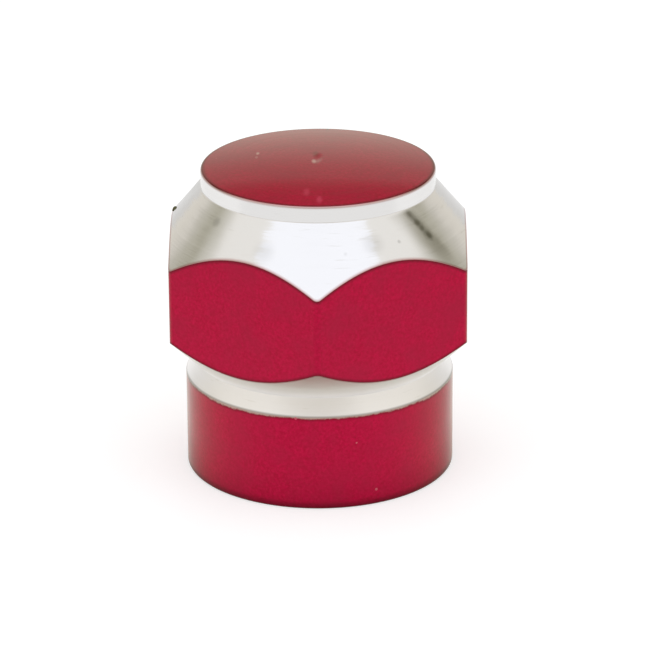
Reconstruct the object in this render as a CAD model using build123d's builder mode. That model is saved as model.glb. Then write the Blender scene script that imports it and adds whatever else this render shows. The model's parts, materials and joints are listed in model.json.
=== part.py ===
from build123d import *
import os
from math import cos, radians, tan

# Tyre valve cap: a hexagonal cap turned from aluminium bar, with a rubber sealing washer in its bore.
# Millimetres, +Z up. The origin is the centre of the open rim, which the cap stands on.
# The hexagon has a corner towards -Y and flats towards +X and -X.

# Hexagonal bar that the cap is turned from
hex_sides = 6
hex_across_flats = 12.0
hex_corner_radius = 0.15
hex_edge_length = 3.05  # height of the corner edges left between the two turned cones

# Round skirt at the open end
skirt_diameter = 11.0
skirt_height = 4.0
rim_edge_break = 0.1

# V groove between the skirt and the hexagon, both walls measured from horizontal
shoulder_bevel_width = 0.08
shoulder_bevel_height = 0.15
groove_depth = 0.35  # below the skirt's surface
groove_lower_angle = 65.0
groove_upper_angle = 44.0

# Closed end: a cone from the hexagon's corners, a short collar and a low dome
crown_angle = 50.0  # from horizontal
collar_diameter = 9.55
collar_height = 0.67
dome_rise = 0.37

# Bore for the valve stem, at the minor diameter of the 8V1 valve thread
thread_minor_diameter = 7.0
mouth_countersink = 0.6  # 45 degrees, so the same across and deep
thread_end_height = 7.8
pilot_drill_diameter = 4.0
drill_point_angle = 118.0

# Rubber washer, trapped in a recess behind the thread
washer_overlap = 0.5  # how far the thread's end holds it all round
washer_thickness = 1.2
washer_hole_diameter = 3.4
washer_clearance = 0.05  # between its edge and the recess

# Radii and heights that follow from the sizes above
corner_reach = hex_across_flats / 2 / cos(radians(180 / hex_sides))
skirt_radius = skirt_diameter / 2
shoulder_radius = skirt_radius - shoulder_bevel_width
shoulder_z = skirt_height + shoulder_bevel_height
groove_radius = skirt_radius - groove_depth
groove_z = shoulder_z + (shoulder_radius - groove_radius) * tan(radians(groove_lower_angle))
hex_lower_z = groove_z + (corner_reach - groove_radius) * tan(radians(groove_upper_angle))
hex_upper_z = hex_lower_z + hex_edge_length
collar_radius = collar_diameter / 2
collar_z = hex_upper_z + (corner_reach - collar_radius) * tan(radians(crown_angle))
dome_edge_z = collar_z + collar_height
cap_height = dome_edge_z + dome_rise
dome_radius = (collar_radius**2 + dome_rise**2) / (2 * dome_rise)
thread_radius = thread_minor_diameter / 2
washer_radius = thread_radius + washer_overlap
recess_radius = washer_radius + washer_clearance
seat_z = thread_end_height + washer_thickness
pilot_radius = pilot_drill_diameter / 2
bore_end_z = seat_z + pilot_radius / tan(radians(drill_point_angle / 2))

# The turned outline runs this far past the bar's corners, and the bar this far past both ends
turning_allowance = 0.2
outline_reach = corner_reach + turning_allowance
outline_lower_z = hex_lower_z + turning_allowance * tan(radians(groove_upper_angle))
outline_upper_z = hex_upper_z - turning_allowance * tan(radians(crown_angle))

os.makedirs("parts", exist_ok=True)

with BuildPart() as cap_body:
    # Hexagonal bar with slightly rounded corners
    with BuildSketch(Plane.XY.offset(-turning_allowance)) as bar_section:
        RegularPolygon(hex_across_flats / 2, hex_sides, major_radius=False, rotation=180 / hex_sides)
        fillet(bar_section.vertices(), radius=hex_corner_radius)
    extrude(amount=cap_height + 2 * turning_allowance)

    # Turned outside: where its cones run out through the flats they leave the curved edges of the hexagon
    with BuildSketch(Plane.XZ):
        with BuildLine():
            Polyline(
                (0, 0),
                (skirt_radius - rim_edge_break, 0),
                (skirt_radius, rim_edge_break),
                (skirt_radius, skirt_height),
                (shoulder_radius, shoulder_z),
                (groove_radius, groove_z),
                (outline_reach, outline_lower_z),
                (outline_reach, outline_upper_z),
                (collar_radius, collar_z),
                (collar_radius, dome_edge_z),
            )
            RadiusArc((collar_radius, dome_edge_z), (0, cap_height), -dome_radius)
            Line((0, cap_height), (0, 0))
        make_face()
    revolve(axis=Axis.Z, mode=Mode.INTERSECT)

    # Bore: countersunk mouth, thread wall, recess for the washer and the drill's point above its seat
    with BuildSketch(Plane.XZ):
        with BuildLine():
            Polyline(
                (0, 0),
                (thread_radius + mouth_countersink, 0),
                (thread_radius, mouth_countersink),
                (thread_radius, thread_end_height),
                (recess_radius, thread_end_height),
                (recess_radius, seat_z),
                (pilot_radius, seat_z),
                (0, bore_end_z),
                close=True,
            )
        make_face()
    revolve(axis=Axis.Z, mode=Mode.SUBTRACT)

with BuildPart() as sealing_washer:
    # Flat ring punched from rubber sheet, held between the thread's end and the bore's seat
    with BuildSketch(Plane.XY.offset(thread_end_height)):
        Circle(washer_radius)
        Circle(washer_hole_diameter / 2, mode=Mode.SUBTRACT)
    extrude(amount=washer_thickness)

cap_body.part.label = "cap_body"
export_step(cap_body.part, "parts/cap_body.step")

sealing_washer.part.label = "sealing_washer"
export_step(sealing_washer.part, "parts/sealing_washer.step")
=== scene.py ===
import json
import math

import bpy
import numpy as np
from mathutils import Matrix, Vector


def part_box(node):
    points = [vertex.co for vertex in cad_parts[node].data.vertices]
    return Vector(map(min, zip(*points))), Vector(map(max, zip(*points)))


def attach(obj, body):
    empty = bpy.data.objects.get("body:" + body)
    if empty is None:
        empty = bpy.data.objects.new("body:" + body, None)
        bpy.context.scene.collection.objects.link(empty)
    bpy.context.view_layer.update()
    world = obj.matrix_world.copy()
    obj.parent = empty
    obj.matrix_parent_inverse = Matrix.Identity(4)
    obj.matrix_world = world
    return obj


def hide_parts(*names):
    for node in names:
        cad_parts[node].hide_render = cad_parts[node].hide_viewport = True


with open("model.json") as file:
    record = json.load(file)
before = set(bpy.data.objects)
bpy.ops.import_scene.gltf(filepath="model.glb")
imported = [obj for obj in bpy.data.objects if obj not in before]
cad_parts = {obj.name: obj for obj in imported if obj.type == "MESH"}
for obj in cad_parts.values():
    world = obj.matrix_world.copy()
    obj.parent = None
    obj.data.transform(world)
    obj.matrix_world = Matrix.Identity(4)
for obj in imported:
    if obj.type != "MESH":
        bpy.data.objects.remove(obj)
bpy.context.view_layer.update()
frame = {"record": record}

# Cap body: one piece of hexagonal aluminium bar, turned outside and bored from its open end.
# It was dyed red all over, and then the collar, the cone above the hexagon and the groove below it
# were cut once more, which left them as bare bright metal.
MM = 0.001
body_low, body_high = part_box("cap_body")
cap_height = body_high.z
half_flats = (body_high.x - body_low.x) / 2
hex_sides = 6
hex_corner_radius = 0.3 * MM  # the bar's corners, softened further by handling
hex_edge_length = 3.05 * MM
skirt_radius = 5.5 * MM
skirt_height = 4.0 * MM
shoulder_bevel_width = 0.08 * MM
shoulder_bevel_height = 0.15 * MM
groove_depth = 0.35 * MM
groove_lower_slope = math.tan(math.radians(65))
groove_upper_slope = math.tan(math.radians(44))
crown_slope = math.tan(math.radians(50))
collar_radius = 4.775 * MM
cone_hollow = 0.025 * MM
dome_rise = 0.37 * MM

sector = 2 * math.pi / hex_sides
corner_reach = half_flats / math.cos(sector / 2)
shoulder_radius = skirt_radius - shoulder_bevel_width
shoulder_z = skirt_height + shoulder_bevel_height
groove_radius = skirt_radius - groove_depth
groove_z = shoulder_z + (shoulder_radius - groove_radius) * groove_lower_slope
hex_lower_z = groove_z + (corner_reach - groove_radius) * groove_upper_slope
hex_upper_z = hex_lower_z + hex_edge_length
collar_z = hex_upper_z + (corner_reach - collar_radius) * crown_slope

# Columns of the body's grid: close together where a flat runs into its rounded corner
flat_columns = 34
corner_columns = 8
flat_half_angle = math.atan((half_flats - hex_corner_radius) * math.tan(sector / 2) / half_flats)
flat_angles = flat_half_angle * np.sin(np.linspace(-math.pi / 2, math.pi / 2, flat_columns))
corner_angles = np.linspace(flat_half_angle, sector - flat_half_angle, corner_columns + 2)[1:-1]
one_sector = np.concatenate([flat_angles, corner_angles])
angles = (one_sector + sector * np.arange(hex_sides)[:, None]).ravel()


def hexagon_reach(angle):
    """Axis to side: half the flats over the cosine of the angle off a flat's middle, or a corner's arc."""
    off_flat = (angle + sector / 2) % sector - sector / 2
    off_corner = sector / 2 - np.abs(off_flat)
    arc_centre = (half_flats - hex_corner_radius) / math.cos(sector / 2)
    half_chord_squared = np.maximum(hex_corner_radius**2 - (arc_centre * np.sin(off_corner)) ** 2, 0)
    arc = arc_centre * np.cos(off_corner) + np.sqrt(half_chord_squared)
    return np.where(np.abs(off_flat) <= flat_half_angle, half_flats / np.cos(off_flat), arc)


def cone_height(radius):
    """The cone's height at a radius: its straight slope less a flat parabola, deepest halfway down."""
    share = (radius - collar_radius) / (corner_reach - collar_radius)
    return collar_z - (radius - collar_radius) * crown_slope - 4 * cone_hollow * share * (1 - share)


# A run's first and last rows stand this close to its ends, so that the shading of an arc stays on the arc
row_margin = 0.02 * MM
largest_margin_share = 0.25


def rounded_outline(corners, radii, columns, run_rows=6, arc_rows=5):
    """Section lines with rounded corners, one line for each column, as rows of (radius, height).

    Each inner corner becomes an arc tangent to its two runs: the arc's centre lies on the line that halves
    the corner, and its points turn evenly from one tangent point to the other. Returns the rows and, for
    the strip below each row, the number of its run (0, 1, ...) or of its corner (-1, -2, ...).
    """
    points = np.array([[np.broadcast_to(v, columns) for v in corner] for corner in corners])
    points = points.transpose(0, 2, 1)
    turn_shares = np.linspace(0, 1, arc_rows + 1)[:, None, None]
    run_shares = np.linspace(0, 1, run_rows)[:, None, None]
    rows = []
    strips = []
    start = points[0]
    for number, radius in enumerate(radii):
        before, corner, after = points[number : number + 3]
        to_before = (before - corner) / np.linalg.norm(before - corner, axis=1, keepdims=True)
        to_after = (after - corner) / np.linalg.norm(after - corner, axis=1, keepdims=True)
        opening = np.arccos(np.sum(to_before * to_after, axis=1, keepdims=True))
        halving = (to_before + to_after) / np.linalg.norm(to_before + to_after, axis=1, keepdims=True)
        centre = corner + halving * radius / np.sin(opening / 2)
        first = corner + to_before * radius / np.tan(opening / 2)
        last = corner + to_after * radius / np.tan(opening / 2)
        turn = math.pi - opening
        from_first = np.sin((1 - turn_shares) * turn) * (first - centre)
        to_last = np.sin(turn_shares * turn) * (last - centre)
        arc = centre + (from_first + to_last) / np.sin(turn)
        run_length = np.linalg.norm(first - start, axis=1, keepdims=True)
        margin = np.minimum(row_margin / run_length, largest_margin_share)
        run = start + (first - start) * (margin + run_shares * (1 - 2 * margin))
        rows += [start[None], run, arc[:-1]]
        strips += [number] * (run_rows + 1) + [-1 - number] * arc_rows
        start = last
    rows += [start[None], start + (points[-1] - start) * run_shares[1:]]
    strips += [len(radii)] * (run_rows - 1)
    return np.concatenate(rows), np.array(strips)


# Closed end: a low dome with a rounded edge, and a shallow oval dish in the middle
dome_radius = (collar_radius**2 + dome_rise**2) / (2 * dome_rise)
dome_centre_z = cap_height - dome_radius
dome_edge_radius = 0.1 * MM
dish_half_width = 0.24 * MM
dish_half_length = 0.7 * MM
dish_turn = math.radians(6)
dish_depth = 0.034 * MM
edge_centre_r = collar_radius - dome_edge_radius
edge_centre_z = dome_centre_z + math.sqrt((dome_radius - dome_edge_radius) ** 2 - edge_centre_r**2)
edge_start = math.atan2(edge_centre_z - dome_centre_z, edge_centre_r)
dish_rows = 20
dome_rows = 22
edge_rows = 7
dome_end_r = dome_radius * math.cos(edge_start)
dome_r = np.concatenate([
    np.linspace(0, dish_half_length, dish_rows, endpoint=False),
    np.linspace(dish_half_length, dome_end_r - row_margin, dome_rows),
])
dome_z = dome_centre_z + np.sqrt(dome_radius**2 - dome_r**2)
edge_turn = np.linspace(edge_start, 0, edge_rows)[:-1]
edge_r = edge_centre_r + dome_edge_radius * np.cos(edge_turn)
edge_z = edge_centre_z + dome_edge_radius * np.sin(edge_turn)
top_section = np.stack([np.concatenate([dome_r, edge_r]), np.concatenate([dome_z, edge_z])], axis=1)
top_rows = np.repeat(top_section[:, None, :], len(angles), axis=1)

# The dish's depth is a half wave of a cosine, from full in its middle to none at the oval's edge
off_width = top_section[:, :1] * np.sin(angles - math.pi / 2 + dish_turn) / dish_half_width
off_length = top_section[:, :1] * np.cos(angles - math.pi / 2 + dish_turn) / dish_half_length
dish_share = np.minimum(np.hypot(off_width, off_length), 1)
top_rows[..., 1] -= dish_depth * (1 + np.cos(math.pi * dish_share)) / 2

# Outside from the collar down to the rim, and the rim's inner edge as far as the countersink
thread_mount = next(m for m in frame["record"]["mounts"] if m["name"] == "valve_thread")
crest_radius = thread_mount["dims"]["r_mm"] * MM
countersink = 0.6 * MM
mouth_radius = crest_radius + countersink
mouth_end_z = 0.1 * MM
reach = hexagon_reach(angles)
outline = [
    (collar_radius, edge_centre_z),
    (collar_radius, collar_z),
    (reach, cone_height(reach)),
    (reach, groove_z + (reach - groove_radius) * groove_upper_slope),
    (groove_radius, groove_z),
    (shoulder_radius, shoulder_z),
    (skirt_radius, skirt_height),
    (skirt_radius, 0.0),
    (mouth_radius, 0.0),
    (mouth_radius - mouth_end_z, mouth_end_z),
]

# Numbers of the outline's runs. The corner after a run has -1 less the run's number.
collar_run = 0
cone_run = 1
hexagon_run = 2
upper_wall_run = 3
lower_wall_run = 4
bevel_run = 5
skirt_run = 6
corner_radii = [v * MM for v in (0.05, 0.03, 0.04, 0.02, 0.03, 0.03, 0.1, 0.04)]
side_rows, side_strips = rounded_outline(outline, corner_radii, len(angles))

# The cone's rows between its edges lie on its hollow line
cone_rows = np.flatnonzero(side_strips == cone_run)[1:]
side_rows[cone_rows, :, 1] = cone_height(side_rows[cone_rows, :, 0])

# Bore: the countersunk mouth, the valve thread, the washer's recess and the drill's point
inch = 25.4 * MM
threads_per_inch = 32
thread_pitch = inch / threads_per_inch
root_radius = 3.875 * MM
crest_share = 0.28
flank_angle = math.radians(30)
flank_slope = 1 / math.tan(flank_angle)
rows_per_turn = 12
washer_low, washer_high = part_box("sealing_washer")
thread_end_z = washer_low.z
seat_z = washer_high.z
washer_clearance = 0.05 * MM
recess_radius = washer_high.x + washer_clearance
pilot_radius = 2.0 * MM
drill_point_angle = math.radians(118)
drill_point_z = seat_z + pilot_radius / math.tan(drill_point_angle / 2)


def thread_reach(angle, height):
    """Right-hand thread: the radius repeats once a pitch, climbs a pitch a turn and has straight flanks."""
    phase = (height / thread_pitch - angle / (2 * math.pi)) % 1
    off_crest = np.maximum(np.abs(phase - 0.5) - crest_share / 2, 0) * thread_pitch
    return np.minimum(crest_radius + off_crest * flank_slope, root_radius)


thread_rows = int(rows_per_turn * (thread_end_z - mouth_end_z) / thread_pitch)
heights = np.linspace(mouth_end_z, thread_end_z, thread_rows)[1:, None]
bore_r = np.maximum(thread_reach(angles, heights), mouth_radius - heights)
bore_rows = np.stack([bore_r, np.broadcast_to(heights, bore_r.shape)], axis=2)
end_section = np.array([
    (recess_radius, thread_end_z),
    (recess_radius, seat_z),
    (pilot_radius, seat_z),
    (pilot_radius / 2, (seat_z + drill_point_z) / 2),
    (0.0, drill_point_z),
])
end_rows = np.repeat(end_section[:, None, :], len(angles), axis=1)

# An edge that turns by more than this is shaded as a sharp one
sharp_angle = math.radians(40)


def skin(name, rows, angle, closed):
    """A mesh of quads between neighbouring rows and columns, with each row's radius at the column's angle.

    The columns close round the axis. Closed rows join the last row to the first. Otherwise the first and
    the last row lie on the axis, and each is one point with a fan of triangles.
    """
    radius, height = rows[..., 0], rows[..., 1]
    points = np.stack([radius * np.cos(angle), radius * np.sin(angle), height], axis=2)
    row_count, columns = radius.shape
    if closed:
        vertices = points.reshape(-1, 3)
        number = np.arange(len(vertices)).reshape(row_count, columns)
        number = np.concatenate([number, number[:1]])
    else:
        vertices = np.concatenate([points[0, :1], points[1:-1].reshape(-1, 3), points[-1, :1]])
        number = 1 + np.arange((row_count - 2) * columns).reshape(row_count - 2, columns)
    after = np.roll(number, -1, 1)
    faces = np.stack([number[:-1], number[1:], after[1:], after[:-1]], 2).reshape(-1, 4).tolist()
    if not closed:
        top_fan = np.stack([np.zeros_like(number[0]), number[0], after[0]], 1).tolist()
        end_fan = np.stack([number[-1], np.full_like(number[0], len(vertices) - 1), after[-1]], 1).tolist()
        faces = top_fan + faces + end_fan
    mesh = bpy.data.meshes.new(name)
    mesh.from_pydata(vertices.tolist(), [], faces)
    mesh.polygons.foreach_set("use_smooth", np.ones(len(faces), bool))
    mesh.set_sharp_from_angle(angle=sharp_angle)
    piece = bpy.data.objects.new(name, mesh)
    bpy.context.scene.collection.objects.link(piece)
    return piece


body_rows = np.concatenate([top_rows, side_rows, bore_rows, end_rows])
cap = skin("turned_cap", body_rows, angles, closed=False)


def distance_from(rows):
    """Distance along the section from each of the mesh's points to the nearest of the given rows."""
    steps = np.linalg.norm(np.diff(body_rows, axis=0), axis=2)
    along = np.concatenate([np.zeros((1, len(angles))), np.cumsum(steps, axis=0)])
    nearest = np.min([np.abs(along - along[row]) for row in rows], axis=0)
    return np.concatenate([nearest[0, :1], nearest[1:-1].ravel(), nearest[-1, :1]])


def side_row(strip):
    """The body's first row of a strip of the outside, given by its run or corner number."""
    return len(top_rows) + int(np.argmax(side_strips == strip))


# Edges that the finishes and the painted shade follow. The bare metal starts partly round the dome's edge,
# and the rim's edge, which the painted shade towards the rim follows, is taken halfway round its corner.
bare_edge_row = len(dome_r) + edge_rows // 3
rim_corner_rows = 3
edges = {
    "from_cut": [bare_edge_row, side_row(hexagon_run), side_row(upper_wall_run)],
    "from_shoulder": [side_row(-1 - bevel_run)],
    "from_rim": [side_row(-1 - skirt_run) + rim_corner_rows],
}
for name, rows in edges.items():
    distances = cap.data.attributes.new(name, "FLOAT", "POINT")
    distances.data.foreach_set("value", distance_from(rows))

# Bare strips: the collar, the cone, both walls of the groove and the bevel, with the corners between them
bare_runs = [collar_run, cone_run, upper_wall_run, lower_wall_run, bevel_run]
bare_corners = [-1 - run for run in bare_runs[:-1]]
is_bare = np.zeros(len(body_rows) - 1, int)
is_bare[bare_edge_row : len(top_rows)] = 1
is_bare[len(top_rows) : len(top_rows) + len(side_strips)] = np.isin(side_strips, bare_runs + bare_corners)


def linear(hex_colour):
    """An sRGB hex value as the linear colour that a shader takes."""
    channels = np.array([int(hex_colour[i : i + 2], 16) for i in (1, 3, 5)]) / 255
    values = np.where(channels <= 0.04045, channels / 12.92, ((channels + 0.055) / 1.055) ** 2.4)
    return (*values.tolist(), 1.0)


# Sockets of a colour Mix node, which share their names with the same node's sockets for numbers
MIX_SHARE = 0
MIX_A = 6
MIX_B = 7
MIX_RESULT = 2
ramp_stops_at_start = 2


def add_node(tree, kind, settings=(), values=(), links=(), stops=()):
    """Adds a node with its settings, its sockets' values, the outputs that feed it and a ramp's stops."""
    node = tree.nodes.new(kind)
    for name, value in dict(settings).items():
        setattr(node, name, value)
    for socket, value in dict(values).items():
        node.inputs[socket].default_value = value
    for socket, source in dict(links).items():
        tree.links.new(source, node.inputs[socket])
    for number, (position, colour) in enumerate(stops):
        elements = node.color_ramp.elements
        element = elements[number] if number < ramp_stops_at_start else elements.new(position)
        element.position = position
        element.color = linear(colour)
    return node


# Red-dyed anodised aluminium: satin metal seen through dye, so the red is deep and even, under a clear hard
# skin whose own gloss is uncoloured, faint face-on and strong at a glancing angle.
red = bpy.data.materials.new("red_anodised_aluminium")
red.use_nodes = True
tree = red.node_tree
tree.nodes.clear()
place = add_node(tree, "ShaderNodeTexCoord")

# Grain and clouds of the dye. Real grain is too fine to show, so it is drawn coarser.
grain_size = 0.12 * MM
cloud_size = 1.4 * MM
grain = add_node(
    tree,
    "ShaderNodeTexNoise",
    values={"Scale": 1 / grain_size, "Detail": 3.0, "Roughness": 0.6},
    links={"Vector": place.outputs["Object"]},
)
grain_share = add_node(
    tree,
    "ShaderNodeMapRange",
    values={"From Min": 0.3, "From Max": 0.7, "To Min": 0.0, "To Max": 1.0},
    links={"Value": grain.outputs["Fac"]},
)
grain_tone = add_node(
    tree,
    "ShaderNodeMix",
    {"data_type": "RGBA"},
    {MIX_A: linear("#ae0134"), MIX_B: linear("#c70844")},
    {MIX_SHARE: grain_share.outputs[0]},
)
cloud = add_node(
    tree,
    "ShaderNodeTexNoise",
    values={"Scale": 1 / cloud_size, "Detail": 3.0, "Roughness": 0.6},
    links={"Vector": place.outputs["Object"]},
)
cloud_share = add_node(
    tree,
    "ShaderNodeMapRange",
    values={"From Min": 0.4, "From Max": 0.7, "To Min": 0.0, "To Max": 0.6},
    links={"Value": cloud.outputs["Fac"]},
)
cloud_tone = add_node(
    tree,
    "ShaderNodeMix",
    {"data_type": "RGBA"},
    {MIX_B: linear("#ac163d")},
    {MIX_SHARE: cloud_share.outputs[0], MIX_A: grain_tone.outputs[MIX_RESULT]},
)

# Distances from the edges. Grain and clouds make the one from the skirt's upper edge uneven.
fine_raggedness = 0.05 * MM
broad_raggedness = 0.12 * MM
cut_distance = add_node(tree, "ShaderNodeAttribute", {"attribute_name": "from_cut"})
rim_distance = add_node(tree, "ShaderNodeAttribute", {"attribute_name": "from_rim"})
shoulder_distance = add_node(tree, "ShaderNodeAttribute", {"attribute_name": "from_shoulder"})
ragged_distance = add_node(
    tree,
    "ShaderNodeMath",
    {"operation": "MULTIPLY_ADD"},
    {1: -fine_raggedness},
    {0: grain_share.outputs[0], 2: shoulder_distance.outputs["Fac"]},
)
uneven_distance = add_node(
    tree,
    "ShaderNodeMath",
    {"operation": "MULTIPLY_ADD"},
    {1: -broad_raggedness},
    {0: cloud_share.outputs[0], 2: ragged_distance.outputs[0]},
)

# Tints along the edges: a fine dark line of painted shade beside each cut, a ragged line of painted shade
# along the skirt's upper edge, dye worn off that edge in places, and painted shade that darkens the red
# towards the rim. Each has the distance it follows, how it fades, from where to where in millimetres, its
# depth and its colour.
edge_wear_and_shade = [
    # The two dark lines are painted shade on the red's rounded edges
    (cut_distance.outputs["Fac"], "LINEAR", 0.02, 0.16, 0.75, "#5a0a18"),
    (uneven_distance.outputs[0], "LINEAR", 0.03, 0.14, 0.55, "#5a0a18"),
    (uneven_distance.outputs[0], "LINEAR", -0.03, 0.04, 1.0, "#bda399"),
    # Painted shade: the red darkens towards the rim in place of the shadowed floor that the rim reflects
    (rim_distance.outputs["Fac"], "SMOOTHSTEP", 0.05, 0.4, 0.6, "#4a0210"),
]
dyed_colour = cloud_tone.outputs[MIX_RESULT]
for distance, fading, fade_start, fade_end, depth, colour in edge_wear_and_shade:
    tint_share = add_node(
        tree,
        "ShaderNodeMapRange",
        {"interpolation_type": fading},
        {"From Min": fade_start * MM, "From Max": fade_end * MM, "To Min": depth, "To Max": 0.0},
        {"Value": distance},
    )
    tint = add_node(
        tree,
        "ShaderNodeMix",
        {"data_type": "RGBA"},
        {MIX_B: linear(colour)},
        {MIX_SHARE: tint_share.outputs[0], MIX_A: dyed_colour},
    )
    dyed_colour = tint.outputs[MIX_RESULT]

# Pale specks: one in each cell whose chance is over 0.6, up to a tenth of the cell in size
speck_spacing = 0.8 * MM
speck_cells = add_node(
    tree,
    "ShaderNodeTexVoronoi",
    values={"Scale": 1 / speck_spacing},
    links={"Vector": place.outputs["Object"]},
)
speck_chance = add_node(tree, "ShaderNodeSeparateXYZ", links={"Vector": speck_cells.outputs["Color"]})
speck_size = add_node(
    tree,
    "ShaderNodeMapRange",
    values={"From Min": 0.6, "From Max": 1.0, "To Min": 0.0, "To Max": 0.1},
    links={"Value": speck_chance.outputs["X"]},
)
speck_share = add_node(
    tree,
    "ShaderNodeMath",
    {"operation": "LESS_THAN"},
    links={0: speck_cells.outputs["Distance"], 1: speck_size.outputs[0]},
)
speck_tone = add_node(
    tree,
    "ShaderNodeMix",
    {"data_type": "RGBA"},
    {MIX_B: linear("#c85c6c")},
    {MIX_SHARE: speck_share.outputs[0], MIX_A: dyed_colour},
)

# Marks on the dome, drawn longer from front to back than across. The first two are a painted shade on the
# dish's far wall and a painted highlight on its near wall. Each has its place, the radii of its core and
# its edge in millimetres, its depth and its colour.
height_split = add_node(tree, "ShaderNodeSeparateXYZ", links={"Vector": place.outputs["Object"]})
on_dome = add_node(
    tree,
    "ShaderNodeMapRange",
    values={"From Min": collar_z, "From Max": edge_centre_z, "To Min": 0.0, "To Max": 1.0},
    links={"Value": height_split.outputs["Z"]},
)
mark_shortening = 0.4
drawn_back = add_node(
    tree,
    "ShaderNodeVectorMath",
    {"operation": "MULTIPLY"},
    {1: (1.0, mark_shortening, 0.0)},
    {0: place.outputs["Object"]},
)
dome_marks_and_dish_shading = [
    # Painted shade on the dish's far wall, then a painted highlight on its near wall
    ((-0.1, 0.55), 0.04, 0.2, 0.6, "#8c1820"),
    ((-0.16, -0.36), 0.02, 0.14, 0.6, "#ecc0ba"),
    ((-2.46, 0.9), 0.02, 0.1, 0.55, "#e8b8b0"),
    ((-2.5, 0.4), 0.02, 0.09, 0.2, "#e8b8b0"),
    ((-0.42, -3.5), 0.02, 0.2, 0.2, "#ff7090"),
    ((0.09, -4.15), 0.03, 0.18, 0.25, "#ff6a90"),
    ((0.36, 4.55), 0.02, 0.1, 0.7, "#3a2418"),
]
dyed_colour = speck_tone.outputs[MIX_RESULT]
for (mark_x, mark_y), mark_core, mark_edge, mark_depth, mark_colour in dome_marks_and_dish_shading:
    off_mark = add_node(
        tree,
        "ShaderNodeVectorMath",
        {"operation": "DISTANCE"},
        {1: (mark_x * MM, mark_shortening * mark_y * MM, 0.0)},
        {0: drawn_back.outputs["Vector"]},
    )
    near_mark = add_node(
        tree,
        "ShaderNodeMapRange",
        {"interpolation_type": "SMOOTHSTEP"},
        {"From Min": mark_core * MM, "From Max": mark_edge * MM, "To Min": mark_depth, "To Max": 0.0},
        {"Value": off_mark.outputs["Value"]},
    )
    mark_share = add_node(
        tree,
        "ShaderNodeMath",
        {"operation": "MULTIPLY"},
        links={0: near_mark.outputs[0], 1: on_dome.outputs[0]},
    )
    mark_tone = add_node(
        tree,
        "ShaderNodeMix",
        {"data_type": "RGBA"},
        {MIX_B: linear(mark_colour)},
        {MIX_SHARE: mark_share.outputs[0], MIX_A: dyed_colour},
    )
    dyed_colour = mark_tone.outputs[MIX_RESULT]

# Relief: the grain all over, and faint turning rings on the dome
dome_ring_spacing = 0.5 * MM
relief = add_node(
    tree,
    "ShaderNodeBump",
    values={"Strength": 0.16, "Distance": 0.01 * MM},
    links={"Height": grain.outputs["Fac"]},
)
flattened = add_node(
    tree,
    "ShaderNodeVectorMath",
    {"operation": "MULTIPLY"},
    {1: (1.0, 1.0, 0.0)},
    {0: place.outputs["Object"]},
)
off_axis = add_node(
    tree,
    "ShaderNodeVectorMath",
    {"operation": "LENGTH"},
    links={0: flattened.outputs["Vector"]},
)
dome_rings = add_node(
    tree,
    "ShaderNodeTexNoise",
    {"noise_dimensions": "1D"},
    {"Scale": 1 / dome_ring_spacing, "Detail": 2.0},
    {"W": off_axis.outputs["Value"]},
)
dome_relief = add_node(
    tree,
    "ShaderNodeBump",
    values={"Distance": 0.012 * MM},
    links={
        "Strength": on_dome.outputs[0],
        "Height": dome_rings.outputs["Fac"],
        "Normal": relief.outputs["Normal"],
    },
)
dyed = add_node(
    tree,
    "ShaderNodeBsdfPrincipled",
    values={
        "Metallic": 1.0,
        "Roughness": 0.55,
        "Specular Tint": linear("#b2ffda"),
        "Sheen Weight": 0.65,
        "Sheen Roughness": 0.25,
        "Sheen Tint": linear("#fff4e0"),
        "Coat Weight": 1.0,
        "Coat IOR": 1.195,
        "Coat Roughness": 0.12,
    },
    links={"Base Color": dyed_colour, "Normal": dome_relief.outputs["Normal"]},
)
add_node(tree, "ShaderNodeOutputMaterial", links={"Surface": dyed.outputs["BSDF"]})

# Bright-turned aluminium: mirror-like, with fine rings from the lathe tool that draw reflections out up and
# down, a few scuffs round the cap, and grease in the marks
bare = bpy.data.materials.new("bright_turned_aluminium")
bare.use_nodes = True
tree = bare.node_tree
tree.nodes.clear()
place = add_node(tree, "ShaderNodeTexCoord")
axis_split = add_node(tree, "ShaderNodeSeparateXYZ", links={"Vector": place.outputs["Object"]})

# Relief: fine rings, drawn coarser than the tool's real feed, broader ones, and slow waves of the surface
ring_spacing = 0.08 * MM
broad_ring_spacing = 0.35 * MM
wave_size = 1.4 * MM
rings = add_node(
    tree,
    "ShaderNodeTexNoise",
    {"noise_dimensions": "1D"},
    {"Scale": 1 / ring_spacing, "Detail": 2.0},
    {"W": axis_split.outputs["Z"]},
)
ring_relief = add_node(
    tree,
    "ShaderNodeBump",
    values={"Strength": 0.3, "Distance": 0.01 * MM},
    links={"Height": rings.outputs["Fac"]},
)
broad_rings = add_node(
    tree,
    "ShaderNodeTexNoise",
    {"noise_dimensions": "1D"},
    {"Scale": 1 / broad_ring_spacing, "Detail": 0.0},
    {"W": axis_split.outputs["Z"]},
)
broad_relief = add_node(
    tree,
    "ShaderNodeBump",
    values={"Strength": 1.0, "Distance": 0.007 * MM},
    links={"Height": broad_rings.outputs["Fac"], "Normal": ring_relief.outputs["Normal"]},
)
waves = add_node(
    tree,
    "ShaderNodeTexNoise",
    values={"Scale": 1 / wave_size, "Detail": 1.0},
    links={"Vector": place.outputs["Object"]},
)
wave_relief = add_node(
    tree,
    "ShaderNodeBump",
    values={"Strength": 1.0, "Distance": 0.02 * MM},
    links={"Height": waves.outputs["Fac"], "Normal": broad_relief.outputs["Normal"]},
)
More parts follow.
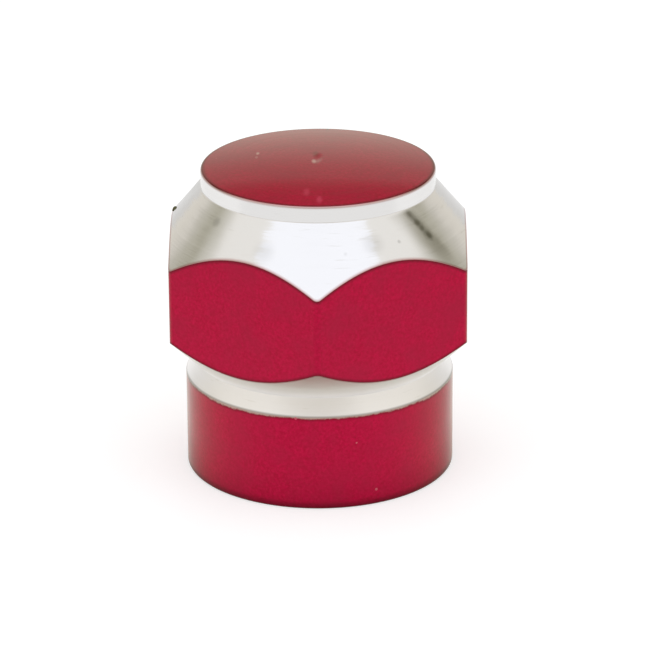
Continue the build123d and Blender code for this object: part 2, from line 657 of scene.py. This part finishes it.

# Scuffs, long round the cap and narrow in height, over a metal whose tone changes with height. Its
# darkening up the groove's upper wall towards the hexagon is painted shade under the hexagon's edge.
scuff_length = 1.1 * MM
scuff_width = 0.09 * MM
drawn_out = add_node(
    tree,
    "ShaderNodeVectorMath",
    {"operation": "MULTIPLY"},
    {1: (1 / scuff_length, 1 / scuff_length, 1 / scuff_width)},
    {0: place.outputs["Object"]},
)
scuffs = add_node(
    tree,
    "ShaderNodeTexNoise",
    values={"Scale": 1.0, "Detail": 2.0},
    links={"Vector": drawn_out.outputs["Vector"]},
)
scuff_share = add_node(
    tree,
    "ShaderNodeMapRange",
    values={"From Min": 0.65, "From Max": 0.8, "To Min": 0.0, "To Max": 1.0},
    links={"Value": scuffs.outputs["Fac"]},
)
height_share = add_node(
    tree,
    "ShaderNodeMapRange",
    values={"From Min": 0.0, "From Max": cap_height, "To Min": 0.0, "To Max": 1.0},
    links={"Value": axis_split.outputs["Z"]},
)
metal_tone_and_groove_shade = add_node(
    tree,
    "ShaderNodeValToRGB",
    links={"Fac": height_share.outputs[0]},
    stops=[
        (groove_z / cap_height, "#edebe9"),
        ((groove_z + 0.15 * MM) / cap_height, "#f2f0ec"),
        # From here the tone darkens up to the hexagon: painted shade under its edge
        ((groove_z + 0.43 * MM) / cap_height, "#e4e1d9"),
        (hex_lower_z / cap_height, "#d4d1c4"),
        (hex_upper_z / cap_height, "#e4e3e2"),
    ],
)
scuff_tone = add_node(
    tree,
    "ShaderNodeMix",
    {"data_type": "RGBA", "blend_type": "MULTIPLY"},
    {MIX_B: linear("#f2f1ee")},
    {MIX_SHARE: scuff_share.outputs[0], MIX_A: metal_tone_and_groove_shade.outputs["Color"]},
)

# Red left along each cut, and a dark grey line along the skirt's upper edge, listed as the red finish's
# tints are
cut_distance = add_node(tree, "ShaderNodeAttribute", {"attribute_name": "from_cut"})
shoulder_distance = add_node(tree, "ShaderNodeAttribute", {"attribute_name": "from_shoulder"})
stains_and_shade = [
    (cut_distance.outputs["Fac"], "SMOOTHSTEP", -0.06, 0.16, 1.0, "#a8625f"),
    (shoulder_distance.outputs["Fac"], "LINEAR", 0.0, 0.09, 0.75, "#6f645c"),
]

# Dark spots: place, the radii of the core and the edge in millimetres, and depth. The fourth and the fifth
# are painted shade that narrows the lower end of the cone's reflected white patch. The last four are the
# blots of the drag mark.
dark_spots_and_shade = [
    ((-4.03, -3.27, 11.55), 0.05, 0.3, 0.22),
    ((3.245, -4.466, 11.15), 0.03, 0.11, 0.24),
    ((1.12, -5.48, 11.0), 0.03, 0.12, 0.1),
    # Painted shade at each lower side of the cone's reflected white patch
    ((2.22, -4.98, 11.24), 0.1, 0.65, 0.13),
    ((-2.12, -5.24, 10.99), 0.1, 0.65, 0.12),
    ((3.66, -3.28, 11.88), 0.02, 0.22, 0.4),
    ((3.97, -3.35, 11.54), 0.05, 0.23, 0.62),
    ((4.15, -3.41, 11.33), 0.04, 0.19, 0.55),
    ((4.44, -3.42, 11.04), 0.06, 0.2, 0.5),
]
for spot_at, spot_core, spot_edge, spot_depth in dark_spots_and_shade:
    off_spot = add_node(
        tree,
        "ShaderNodeVectorMath",
        {"operation": "DISTANCE"},
        {1: [v * MM for v in spot_at]},
        {0: place.outputs["Object"]},
    )
    stains_and_shade.append((off_spot.outputs["Value"], "SMOOTHSTEP", spot_core, spot_edge, spot_depth, "#3a3a2c"))
metal_colour = scuff_tone.outputs[MIX_RESULT]
for distance, fading, fade_start, fade_end, depth, colour in stains_and_shade:
    stain_and_shade_share = add_node(
        tree,
        "ShaderNodeMapRange",
        {"interpolation_type": fading},
        {"From Min": fade_start * MM, "From Max": fade_end * MM, "To Min": depth, "To Max": 0.0},
        {"Value": distance},
    )
    stain_and_shade = add_node(
        tree,
        "ShaderNodeMix",
        {"data_type": "RGBA"},
        {MIX_B: linear(colour)},
        {MIX_SHARE: stain_and_shade_share.outputs[0], MIX_A: metal_colour},
    )
    metal_colour = stain_and_shade.outputs[MIX_RESULT]

# Drag mark: a greasy streak straight down the cone, with blots on its line and a wide faint smear beside
# it, which is partly grease and partly painted shade that widens the cone's reflected side shade. Two
# distances place it: along the line from its upper end, and across the line on the cone.
mark_start = np.array([3.62, -3.288, 11.92]) * MM
mark_end = np.array([5.258, -3.614, 10.13]) * MM
mark_direction = (mark_end - mark_start) / np.linalg.norm(mark_end - mark_start)
mark_middle = (mark_start + mark_end) / 2
mark_outward = np.array([mark_middle[0], mark_middle[1], np.hypot(*mark_middle[:2]) / crown_slope])
mark_across = np.cross(mark_outward, mark_direction)
mark_across /= np.linalg.norm(mark_across)
from_start = add_node(
    tree,
    "ShaderNodeVectorMath",
    {"operation": "SUBTRACT"},
    {1: tuple(mark_start)},
    {0: place.outputs["Object"]},
)
mark_run = add_node(
    tree,
    "ShaderNodeVectorMath",
    {"operation": "DOT_PRODUCT"},
    {1: tuple(mark_direction)},
    {0: from_start.outputs["Vector"]},
)
mark_side = add_node(
    tree,
    "ShaderNodeVectorMath",
    {"operation": "DOT_PRODUCT"},
    {1: tuple(mark_across)},
    {0: from_start.outputs["Vector"]},
)
smear_and_shade_upper = add_node(
    tree,
    "ShaderNodeMapRange",
    {"interpolation_type": "SMOOTHSTEP"},
    {"From Min": 0.1 * MM, "From Max": 0.5 * MM, "To Min": 1.0, "To Max": 0.0},
    {"Value": mark_side.outputs["Value"]},
)
# The smear's wide side is painted shade, a darker reflection beside the mark
smear_and_shade_lower = add_node(
    tree,
    "ShaderNodeMapRange",
    {"interpolation_type": "SMOOTHSTEP"},
    {"From Min": -1.15 * MM, "From Max": -0.05 * MM, "To Min": 0.0, "To Max": 0.45},
    {"Value": mark_side.outputs["Value"]},
)
smear_and_shade_width = add_node(
    tree,
    "ShaderNodeMath",
    {"operation": "MULTIPLY"},
    links={0: smear_and_shade_upper.outputs[0], 1: smear_and_shade_lower.outputs[0]},
)
below_collar = add_node(
    tree,
    "ShaderNodeMapRange",
    values={"From Min": collar_z - 0.12 * MM, "From Max": collar_z, "To Min": 1.0, "To Max": 0.0},
    links={"Value": axis_split.outputs["Z"]},
)
mark_end_share = add_node(
    tree,
    "ShaderNodeMapRange",
    {"interpolation_type": "SMOOTHSTEP"},
    {"From Min": 1.6 * MM, "From Max": 3.2 * MM, "To Min": 1.0, "To Max": 0.0},
    {"Value": mark_run.outputs["Value"]},
)
on_cone = add_node(
    tree,
    "ShaderNodeMath",
    {"operation": "MULTIPLY"},
    links={0: below_collar.outputs[0], 1: mark_end_share.outputs[0]},
)
smear_and_shade_share = add_node(
    tree,
    "ShaderNodeMath",
    {"operation": "MULTIPLY"},
    links={0: smear_and_shade_width.outputs[0], 1: on_cone.outputs[0]},
)
smear_and_shade_tone = add_node(
    tree,
    "ShaderNodeMix",
    {"data_type": "RGBA"},
    {MIX_B: linear("#7d7862")},
    {MIX_SHARE: smear_and_shade_share.outputs[0], MIX_A: metal_colour},
)
blot_size = 0.32 * MM
blots = add_node(
    tree,
    "ShaderNodeTexNoise",
    values={"Scale": 1 / blot_size, "Detail": 1.0},
    links={"Vector": place.outputs["Object"]},
)
blot_reach = add_node(
    tree,
    "ShaderNodeMapRange",
    values={"From Min": 0.3, "From Max": 0.7, "To Min": 0.0, "To Max": 0.16 * MM},
    links={"Value": blots.outputs["Fac"]},
)
blot_fade = add_node(
    tree,
    "ShaderNodeMapRange",
    values={"From Min": 1.3 * MM, "From Max": 1.7 * MM, "To Min": 0.0, "To Max": 0.3 * MM},
    links={"Value": mark_run.outputs["Value"]},
)
blot_limit = add_node(
    tree,
    "ShaderNodeMath",
    {"operation": "SUBTRACT"},
    links={0: blot_reach.outputs[0], 1: blot_fade.outputs[0]},
)
off_line = add_node(
    tree,
    "ShaderNodeMath",
    {"operation": "ABSOLUTE"},
    links={0: mark_side.outputs["Value"]},
)
blot_depth = add_node(
    tree,
    "ShaderNodeMath",
    {"operation": "SUBTRACT"},
    links={0: blot_limit.outputs[0], 1: off_line.outputs[0]},
)
blot_width = add_node(
    tree,
    "ShaderNodeMapRange",
    values={"From Min": -0.18 * MM, "From Max": 0.16 * MM, "To Min": 0.0, "To Max": 0.55},
    links={"Value": blot_depth.outputs[0]},
)
blot_share = add_node(
    tree,
    "ShaderNodeMath",
    {"operation": "MULTIPLY"},
    links={0: blot_width.outputs[0], 1: on_cone.outputs[0]},
)
blot_tone = add_node(
    tree,
    "ShaderNodeMix",
    {"data_type": "RGBA"},
    {MIX_B: linear("#504d3a")},
    {MIX_SHARE: blot_share.outputs[0], MIX_A: smear_and_shade_tone.outputs[MIX_RESULT]},
)

# Gloss: the cone is smoother than the groove, and the rings draw the gloss out across them
turned_roughness = add_node(
    tree,
    "ShaderNodeMapRange",
    values={"From Min": hex_lower_z, "From Max": hex_upper_z, "To Min": 0.3, "To Max": 0.13},
    links={"Value": axis_split.outputs["Z"]},
)
round_axis = add_node(tree, "ShaderNodeTangent", {"direction_type": "RADIAL", "axis": "Z"})
turned = add_node(
    tree,
    "ShaderNodeBsdfPrincipled",
    values={"Metallic": 1.0, "Anisotropic": 0.5, "Anisotropic Rotation": 0.25},
    links={
        "Base Color": blot_tone.outputs[MIX_RESULT],
        "Roughness": turned_roughness.outputs[0],
        "Normal": wave_relief.outputs["Normal"],
        "Tangent": round_axis.outputs["Tangent"],
    },
)
add_node(tree, "ShaderNodeOutputMaterial", links={"Surface": turned.outputs["BSDF"]})

cap.data.materials.append(red)
cap.data.materials.append(bare)
cap.data.polygons.foreach_set("material_index", np.repeat(is_bare, len(angles)))
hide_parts("cap_body")
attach(cap, "root")

# Burr: a curl of the cap's own metal, knocked up near the left edge of the cone and dark with old grease.
# It is half sunk in the cone, and longest down the slope.
burr_angle = math.radians(-188)
burr_radius = 5.95 * MM
burr_half_length = 0.13 * MM
burr_half_width = 0.1 * MM
burr_half_height = 0.07 * MM
burr_columns = 24
burr_ring_count = 13
burr_lumps = 3
burr_lump_height = 0.15
burr_twist = 2

# A ball of radius 1 whose girth swells in a few waves that twist from end to end. It is then stretched to
# its size along three directions: out of the cone, round it and up its slope.
burr_tilt = np.linspace(0, math.pi, burr_ring_count)[:, None]
burr_angles = np.linspace(0, 2 * math.pi, burr_columns, endpoint=False)
burr_waves = np.sin(burr_lumps * burr_angles + burr_twist * burr_tilt)
burr_r = np.sin(burr_tilt) * (1 + burr_lump_height * burr_waves)
burr_rows = np.stack([burr_r, np.broadcast_to(np.cos(burr_tilt), burr_r.shape)], axis=2)
burr = skin("cone_burr", burr_rows, burr_angles, closed=False)
burr_round = np.zeros((len(burr.data.vertices), 3))
burr.data.vertices.foreach_get("co", burr_round.ravel())
slope_length = math.hypot(1, crown_slope)
burr_side = np.array([math.cos(burr_angle), math.sin(burr_angle), 0])
burr_out = (burr_side * crown_slope + np.array([0, 0, 1])) / slope_length
burr_along = (np.array([0, 0, crown_slope]) - burr_side) / slope_length
burr_axes = np.stack([
    burr_half_height * burr_out,
    burr_half_width * np.cross(burr_along, burr_out),
    burr_half_length * burr_along,
])
burr_centre = burr_side * burr_radius + np.array([0, 0, cone_height(burr_radius)])
burr.data.vertices.foreach_set("co", (burr_centre + burr_round @ burr_axes).ravel())

# Greasy burr: torn metal under grease, so matt, olive black and mottled
greasy = bpy.data.materials.new("greasy_aluminium_burr")
greasy.use_nodes = True
tree = greasy.node_tree
tree.nodes.clear()
mottle_size = 0.06 * MM
place = add_node(tree, "ShaderNodeTexCoord")
mottle = add_node(
    tree,
    "ShaderNodeTexNoise",
    values={"Scale": 1 / mottle_size, "Detail": 2.0},
    links={"Vector": place.outputs["Object"]},
)
mottle_tone = add_node(
    tree,
    "ShaderNodeMix",
    {"data_type": "RGBA"},
    {MIX_A: linear("#34331a"), MIX_B: linear("#66643f")},
    {MIX_SHARE: mottle.outputs["Fac"]},
)
torn = add_node(
    tree,
    "ShaderNodeBsdfPrincipled",
    values={"Roughness": 0.85},
    links={"Base Color": mottle_tone.outputs[MIX_RESULT]},
)
add_node(tree, "ShaderNodeOutputMaterial", links={"Surface": torn.outputs["BSDF"]})
burr.data.materials.append(greasy)
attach(burr, "root")

# Sealing washer: a flat ring punched from black rubber sheet, pushed in past the thread into its recess.
# The end of the valve stem presses into it.
washer_radius = washer_high.x
washer_hole_radius = 1.7 * MM
washer_edge_radius = 0.08 * MM
washer_columns = 96
washer_edge_rows = 5
edge_turns = np.linspace(math.pi / 2, 0, washer_edge_rows)

# Centre of each rounded corner of the ring's section, and the direction in which its arc ends
ring_corners = [
    (washer_radius - washer_edge_radius, thread_end_z + washer_edge_radius, -math.pi / 2),
    (washer_hole_radius + washer_edge_radius, thread_end_z + washer_edge_radius, -math.pi),
    (washer_hole_radius + washer_edge_radius, seat_z - washer_edge_radius, -3 * math.pi / 2),
    (washer_radius - washer_edge_radius, seat_z - washer_edge_radius, 0.0),
]
ring_section = []
for corner_r, corner_z, turn in ring_corners:
    arc_r = corner_r + washer_edge_radius * np.cos(turn + edge_turns)
    arc_z = corner_z + washer_edge_radius * np.sin(turn + edge_turns)
    ring_section.append(np.stack([arc_r, arc_z], axis=1))
ring_rows = np.repeat(np.concatenate(ring_section)[:, None, :], washer_columns, axis=1)
washer_angles = np.linspace(0, 2 * math.pi, washer_columns, endpoint=False)
washer = skin("rubber_washer", ring_rows, washer_angles, closed=True)

# Black sheet rubber: matt and slightly grey, with a fine cloth-pressed grain
rubber = bpy.data.materials.new("black_sheet_rubber")
rubber.use_nodes = True
tree = rubber.node_tree
tree.nodes.clear()
rubber_grain_size = 0.1 * MM
place = add_node(tree, "ShaderNodeTexCoord")
grain = add_node(
    tree,
    "ShaderNodeTexNoise",
    values={"Scale": 1 / rubber_grain_size, "Detail": 3.0},
    links={"Vector": place.outputs["Object"]},
)
grain_tone = add_node(
    tree,
    "ShaderNodeMix",
    {"data_type": "RGBA"},
    {MIX_A: linear("#1b1b1c"), MIX_B: linear("#2b2b2d")},
    {MIX_SHARE: grain.outputs["Fac"]},
)
relief = add_node(
    tree,
    "ShaderNodeBump",
    values={"Strength": 0.3, "Distance": 0.02 * MM},
    links={"Height": grain.outputs["Fac"]},
)
pressed = add_node(
    tree,
    "ShaderNodeBsdfPrincipled",
    values={"Roughness": 0.75, "IOR": 1.5},
    links={"Base Color": grain_tone.outputs[MIX_RESULT], "Normal": relief.outputs["Normal"]},
)
add_node(tree, "ShaderNodeOutputMaterial", links={"Surface": pressed.outputs["BSDF"]})
washer.data.materials.append(rubber)
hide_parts("sealing_washer")
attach(washer, "root")

# Floor: a wide sheet of white paper that the cap stands on, flat in the middle and turned up far off.
# It looks white to the camera and in reflections, and its matt part keeps the cap's soft shadow.
floor_half = 0.6
floor_flat = 0.2
floor_rise = 0.04
floor_columns = 61
floor_steps = np.linspace(-floor_half, floor_half, floor_columns)
floor_x, floor_y = np.meshgrid(floor_steps, floor_steps)
turned_up = np.maximum(np.hypot(floor_x, floor_y) - floor_flat, 0) / (floor_half - floor_flat)
floor_points = np.stack([floor_x, floor_y, floor_rise * turned_up**2], axis=2)
number = np.arange(floor_x.size).reshape(floor_x.shape)
floor_faces = np.stack([number[:-1, :-1], number[:-1, 1:], number[1:, 1:], number[1:, :-1]], axis=2)
floor_mesh = bpy.data.meshes.new("white_floor")
floor_mesh.from_pydata(floor_points.reshape(-1, 3).tolist(), [], floor_faces.reshape(-1, 4).tolist())
floor_mesh.polygons.foreach_set("use_smooth", np.ones(len(floor_mesh.polygons), bool))
floor = bpy.data.objects.new("white_floor", floor_mesh)
bpy.context.scene.collection.objects.link(floor)

# White paper: matt, with a glow of its own that lifts it to plain white where the camera sees it. In
# reflections the glow is weaker far off, and weaker close to the cap's foot and in front of the cap, which
# shades it: painted shadow.
paper_glow = 0.51
front_centre = (0.0, -25 * MM, 0.0)
sheet = bpy.data.materials.new("white_paper")
sheet.use_nodes = True
tree = sheet.node_tree
tree.nodes.clear()
place = add_node(tree, "ShaderNodeTexCoord")
rays = add_node(tree, "ShaderNodeLightPath")
mirrored = add_node(
    tree,
    "ShaderNodeMath",
    {"operation": "MAXIMUM"},
    links={0: rays.outputs["Is Glossy Ray"], 1: rays.outputs["Is Transmission Ray"]},
)
from_cap = add_node(
    tree,
    "ShaderNodeVectorMath",
    {"operation": "LENGTH"},
    links={0: place.outputs["Object"]},
)
from_front = add_node(
    tree,
    "ShaderNodeVectorMath",
    {"operation": "DISTANCE"},
    {1: front_centre},
    {0: place.outputs["Object"]},
)
floor_split = add_node(tree, "ShaderNodeSeparateXYZ", links={"Vector": place.outputs["Object"]})

# Each share has the distance that it follows, where it starts and ends in millimetres, and its value there
glow_shares = [
    # Painted shadow of the cap in reflections, close to its foot
    (from_cap.outputs["Value"], 5, 9, 0.3, 1.0),
    (from_front.outputs["Value"], 45, 85, 1.0, 0.43),
    # Painted shade in reflections, in front of the cap
    (floor_split.outputs["Y"], -14, -4, 0.78, 0.95),
]
mirrored_glow = mirrored.outputs[0]
for distance, share_start, share_end, start_value, end_value in glow_shares:
    share = add_node(
        tree,
        "ShaderNodeMapRange",
        {"interpolation_type": "SMOOTHSTEP"},
        {
            "From Min": share_start * MM,
            "From Max": share_end * MM,
            "To Min": start_value,
            "To Max": end_value,
        },
        {"Value": distance},
    )
    weaker = add_node(
        tree,
        "ShaderNodeMath",
        {"operation": "MULTIPLY"},
        links={0: mirrored_glow, 1: share.outputs[0]},
    )
    mirrored_glow = weaker.outputs[0]
seen = add_node(
    tree,
    "ShaderNodeMath",
    {"operation": "MAXIMUM"},
    links={0: rays.outputs["Is Camera Ray"], 1: mirrored_glow},
)
glow = add_node(tree, "ShaderNodeMath", {"operation": "MULTIPLY"}, {1: paper_glow}, {0: seen.outputs[0]})
lifted = add_node(tree, "ShaderNodeEmission", links={"Strength": glow.outputs[0]})
matt = add_node(tree, "ShaderNodeBsdfDiffuse", values={"Color": linear("#cecfd1")})
both = add_node(tree, "ShaderNodeAddShader", links={0: lifted.outputs[0], 1: matt.outputs[0]})
add_node(tree, "ShaderNodeOutputMaterial", links={"Surface": both.outputs[0]})
floor_mesh.materials.append(sheet)

# Studio: a pale warm room, painted on the world. The wall behind the cap is dim above a bowed edge, which
# the dome shows, and a soft shade stands at each side and in front, which the cone shows.
world = bpy.data.worlds.new("studio")
bpy.context.scene.world = world
world.use_nodes = True
tree = world.node_tree
tree.nodes.clear()
direction = add_node(tree, "ShaderNodeTexCoord")
parts = add_node(tree, "ShaderNodeSeparateXYZ", links={"Vector": direction.outputs["Generated"]})
room_front = add_node(
    tree,
    "ShaderNodeValToRGB",
    links={"Fac": parts.outputs["Z"]},
    stops=[(0.05, "#f4f0e8"), (0.3, "#f8f4ec"), (0.42, "#fcf8f1"), (0.67, "#fffdf9")],
)
either_side = add_node(tree, "ShaderNodeMath", {"operation": "ABSOLUTE"}, links={0: parts.outputs["X"]})
bow_half_width = 0.25
bow_rise = 0.055
bow = add_node(
    tree,
    "ShaderNodeMapRange",
    values={"From Min": 0.0, "From Max": bow_half_width, "To Min": 0.0, "To Max": bow_rise},
    links={"Value": either_side.outputs[0]},
)
bowed_height = add_node(
    tree,
    "ShaderNodeMath",
    {"operation": "ADD"},
    links={0: parts.outputs["Z"], 1: bow.outputs[0]},
)
room_back = add_node(
    tree,
    "ShaderNodeValToRGB",
    links={"Fac": bowed_height.outputs[0]},
    stops=[
        (0.04, "#e6e2d9"),
        (0.2, "#ebe6dc"),
        (0.3, "#e5e0d6"),
        (0.37, "#d5d0c6"),
        (0.43, "#c5c1b6"),
        (0.462, "#d4d0c6"),
        (0.48, "#bcb8ab"),
        (0.5, "#827e6d"),
        (0.531, "#4c4939"),
        (0.565, "#2a281e"),
        (0.6, "#343226"),
        (0.66, "#5c5846"),
        (0.78, "#fffdf9"),
    ],
)
back_share = add_node(
    tree,
    "ShaderNodeMapRange",
    {"interpolation_type": "SMOOTHSTEP"},
    {"From Min": 0.22, "From Max": 0.78, "To Min": 0.0, "To Max": 1.0},
    {"Value": parts.outputs["Y"]},
)
room = add_node(
    tree,
    "ShaderNodeMix",
    {"data_type": "RGBA"},
    links={
        MIX_SHARE: back_share.outputs[0],
        MIX_A: room_front.outputs["Color"],
        MIX_B: room_back.outputs["Color"],
    },
)

# Shades at the sides: one direction serves both, because the left half is folded onto the right
side_elevation = math.radians(28)
side_azimuth = math.radians(113)
side_reach = math.radians(22)
side_direction = (
    math.cos(side_elevation) * math.sin(side_azimuth),
    -math.cos(side_elevation) * math.cos(side_azimuth),
    math.sin(side_elevation),
)
folded = add_node(
    tree,
    "ShaderNodeCombineXYZ",
    links={"X": either_side.outputs[0], "Y": parts.outputs["Y"], "Z": parts.outputs["Z"]},
)
off_side = add_node(
    tree,
    "ShaderNodeVectorMath",
    {"operation": "DOT_PRODUCT"},
    {1: side_direction},
    {0: folded.outputs["Vector"]},
)
side_nearness = add_node(
    tree,
    "ShaderNodeMapRange",
    values={"From Min": math.cos(side_reach), "From Max": 1.0, "To Min": 0.0, "To Max": 0.72},
    links={"Value": off_side.outputs["Value"]},
)
side_share = add_node(
    tree,
    "ShaderNodeMath",
    {"operation": "POWER"},
    {1: 2.0},
    {0: side_nearness.outputs[0]},
)
side_shade = add_node(
    tree,
    "ShaderNodeMix",
    {"data_type": "RGBA"},
    {MIX_B: linear("#6e6a2c")},
    {MIX_SHARE: side_share.outputs[0], MIX_A: room.outputs[MIX_RESULT]},
)

# Shade in front, above the floor
front_elevation = math.radians(18)
front_reach = math.radians(40)
front_core = math.radians(12)
front_direction = (0.0, -math.cos(front_elevation), math.sin(front_elevation))
off_front = add_node(
    tree,
    "ShaderNodeVectorMath",
    {"operation": "DOT_PRODUCT"},
    {1: front_direction},
    {0: direction.outputs["Generated"]},
)
front_share = add_node(
    tree,
    "ShaderNodeMapRange",
    {"interpolation_type": "SMOOTHSTEP"},
    {"From Min": math.cos(front_reach), "From Max": math.cos(front_core), "To Min": 0.0, "To Max": 0.5},
    {"Value": off_front.outputs["Value"]},
)
front_shade = add_node(
    tree,
    "ShaderNodeMix",
    {"data_type": "RGBA"},
    {MIX_B: linear("#cfc9bf")},
    {MIX_SHARE: front_share.outputs[0], MIX_A: side_shade.outputs[MIX_RESULT]},
)
background = add_node(tree, "ShaderNodeBackground", links={"Color": front_shade.outputs[MIX_RESULT]})
add_node(tree, "ShaderNodeOutputWorld", links={"Surface": background.outputs["Background"]})

# Softbox: a flat lamp above and in front of the cap, which the cone's front shows as its white patch
softbox_height = 0.3
softbox_forward = 0.135
softbox_size = (0.429, 0.279)
softbox_glow = 0.27  # a flat lamp's power is four times its area and its brightness
softbox_lamp = bpy.data.lights.new("softbox", "AREA")
softbox_lamp.shape = "ELLIPSE"
softbox_lamp.size, softbox_lamp.size_y = softbox_size
softbox_area = math.pi / 4 * softbox_size[0] * softbox_size[1]
softbox_lamp.energy = 4 * softbox_glow * softbox_area
softbox_lamp.color = linear("#c7d8ff")[:3]
softbox = bpy.data.objects.new("softbox", softbox_lamp)
softbox.location = (0, -softbox_forward, softbox_height)
softbox.visible_camera = False
bpy.context.scene.collection.objects.link(softbox)

# Back light: a round lamp high behind the cap, which brings up the red of the dome's front half
back_light_distance = 0.3
back_light_elevation = math.radians(64)
back_light_size = 0.2
back_light_glow = 0.45
back_lamp = bpy.data.lights.new("back_light", "AREA")
back_lamp.shape = "DISK"
back_lamp.size = back_light_size
back_light_area = math.pi / 4 * back_light_size**2
back_lamp.energy = 4 * back_light_glow * back_light_area
back_light = bpy.data.objects.new("back_light", back_lamp)
back_light.location = (
    0,
    back_light_distance * math.cos(back_light_elevation),
    back_light_distance * math.sin(back_light_elevation),
)
back_light.rotation_euler = (back_light_elevation - math.pi / 2, 0, 0)
back_light.visible_camera = False
bpy.context.scene.collection.objects.link(back_light)

# Camera: a long lens from slightly above, with one corner of the hexagon towards it
camera_distance = 169.6 * MM
camera_elevation = math.radians(21.7)
camera_azimuth = math.radians(0.6)
camera_roll = math.radians(0.41)
camera_lens = 228.6
aim_height = 6.3 * MM
aim_right = 0.24 * MM
aim_down = 0.44 * MM
back = np.array([
    math.cos(camera_elevation) * math.sin(camera_azimuth),
    -math.cos(camera_elevation) * math.cos(camera_azimuth),
    math.sin(camera_elevation),
])
level_right = np.cross((0, 0, 1), back)
level_right /= np.linalg.norm(level_right)
level_up = np.cross(back, level_right)
right = math.cos(camera_roll) * level_right - math.sin(camera_roll) * level_up
up = math.sin(camera_roll) * level_right + math.cos(camera_roll) * level_up
eye = np.array([0, 0, aim_height]) + back * camera_distance + right * aim_right - up * aim_down
camera_data = bpy.data.cameras.new("camera")
camera_data.lens = camera_lens
camera_data.clip_start = 0.01
camera_data.clip_end = 10
camera = bpy.data.objects.new("camera", camera_data)
pose = np.eye(4)
pose[:3, 0] = right
pose[:3, 1] = up
pose[:3, 2] = back
pose[:3, 3] = eye
camera.matrix_world = pose.T.tolist()
bpy.context.scene.collection.objects.link(camera)
bpy.context.scene.camera = camera
bpy.context.scene.view_settings.view_transform = "Standard"
